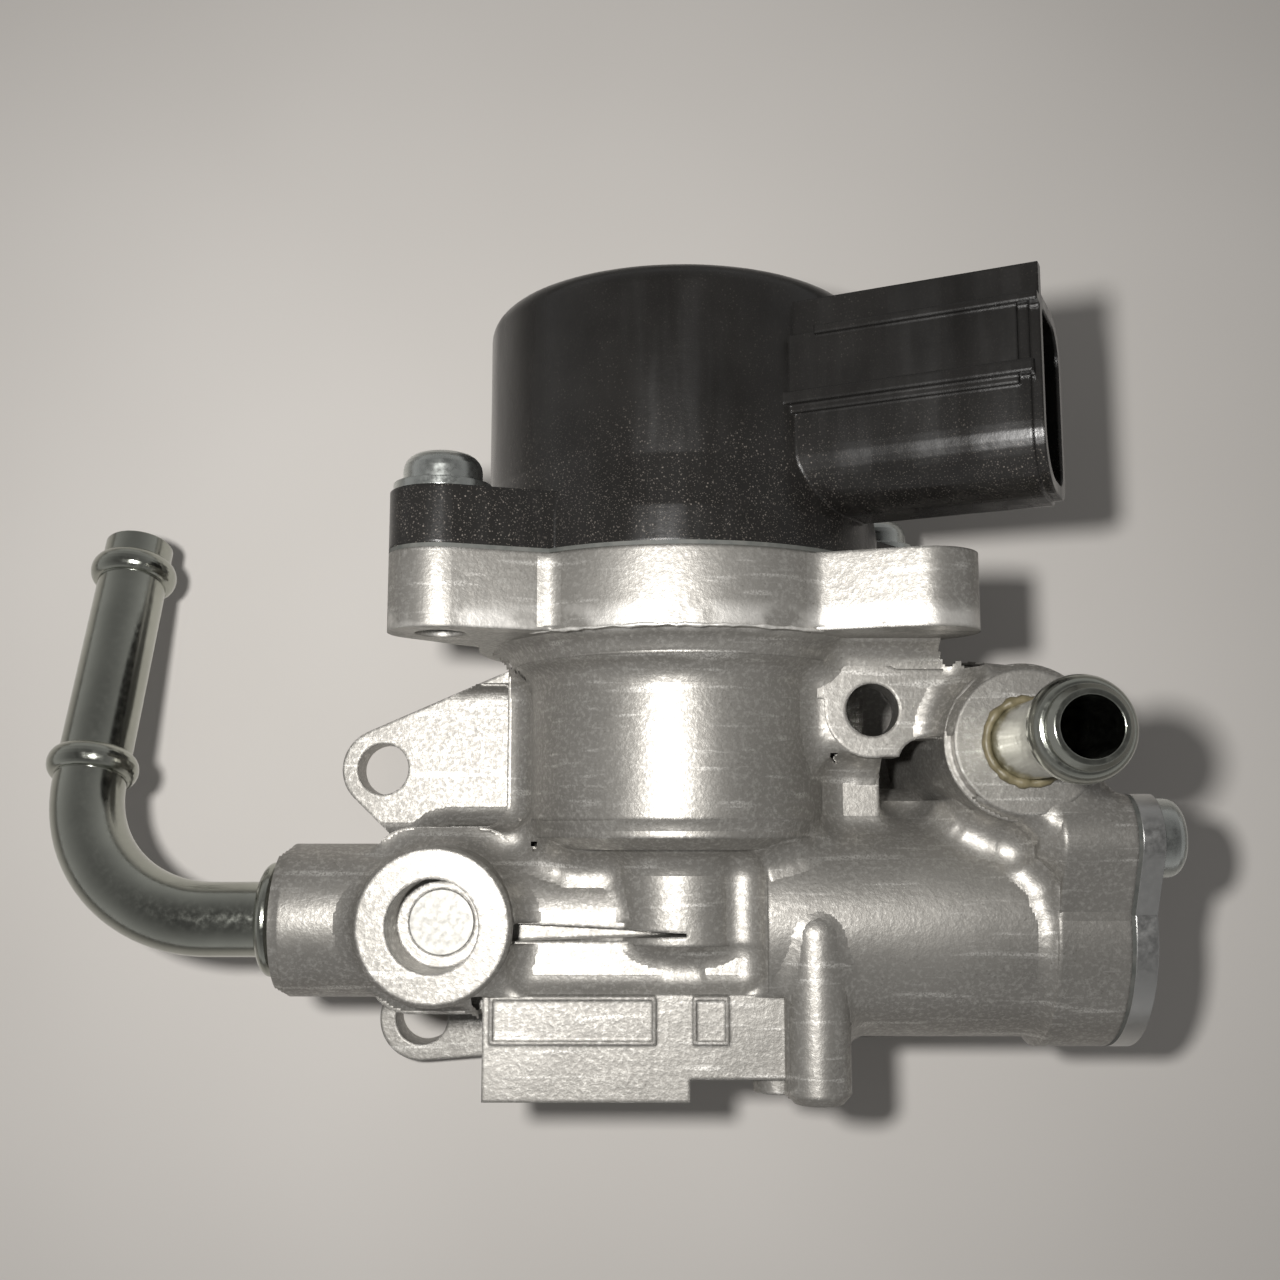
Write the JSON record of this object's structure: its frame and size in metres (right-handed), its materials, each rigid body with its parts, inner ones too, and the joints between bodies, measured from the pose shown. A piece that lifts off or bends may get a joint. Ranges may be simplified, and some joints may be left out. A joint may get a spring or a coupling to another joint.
{
  "type": "idle air control valve",
  "caption": "Die-cast idle air control valve with a black stepper motor, a side connector, a bent water pipe, a straight nipple and a flat mounting plate",
  "frame": {"origin": "on the mounting face, behind the middle of the joint between the motor and the casting", "axes": "X along the water passage, Y up along the motor axis, Z away from the mounting face"},
  "size_m": [0.1218, 0.0844, 0.067],
  "materials": {
    "casting": "satin, as die cast",
    "plated_steel": "zinc plated",
    "screw_steel": "zinc plated",
    "sheet_steel": "plain",
    "spring_steel": "plain",
    "moulding": "glass-filled, satin",
    "hub_plastic": "moulded",
    "gasket": "fibre sheet",
    "seal": "moulded rubber",
    "contact": "tinned",
    "winding": "enamelled wire",
    "bush": "sintered",
    "magnet": "bonded ferrite"
  },
  "bodies": {
    "housing": {"valve_body": "casting", "mounting_seal": "seal", "passage_plug": "plated_steel", "bent_pipe": "plated_steel", "water_nipple": "plated_steel", "motor_housing": "moulding", "motor_gasket": "gasket", "motor_seal": "seal", "motor_screws": "screw_steel", "motor_washers": "screw_steel", "terminal_pins": "contact", "stator_shell": "sheet_steel", "front_coil": "winding", "rear_coil": "winding", "motor_base": "moulding", "front_bearing": "bush", "rear_bearing": "bush", "pintle_guide": "hub_plastic", "valve_seat": "sheet_steel", "wax_capsule": "contact", "wax_seat": "sheet_steel", "cover_gasket": "gasket", "end_cover": "sheet_steel", "cover_screws": "screw_steel"},
    "rotor": {"rotor_magnet": "magnet", "rotor_hub": "hub_plastic"},
    "pintle": {"pintle": "screw_steel", "pintle_spring": "spring_steel"},
    "wax_piston": {"wax_piston": "screw_steel", "wax_spring": "spring_steel"}
  },
  "joints": [
    {"name": "rotor_spin", "type": "hinge", "parent": "housing", "child": "rotor", "pos_m": [0, 0.01, 0.0325], "axis": [0, 1, 0], "range_deg": [0, 811]},
    {"name": "pintle_slide", "type": "slide", "parent": "housing", "child": "pintle", "axis": [0, 1, 0], "range_m": [-0.0045, 0], "deforming": ["pintle_spring"]},
    {"name": "wax_slide", "type": "slide", "parent": "housing", "child": "wax_piston", "axis": [1, 0, 0], "range_m": [0, 0.004], "deforming": ["wax_spring"]}
  ],
  "couplings": [
    {"joint": "rotor_spin", "follows": "pintle_slide", "rad_per_m": -3141.6}
  ]
}
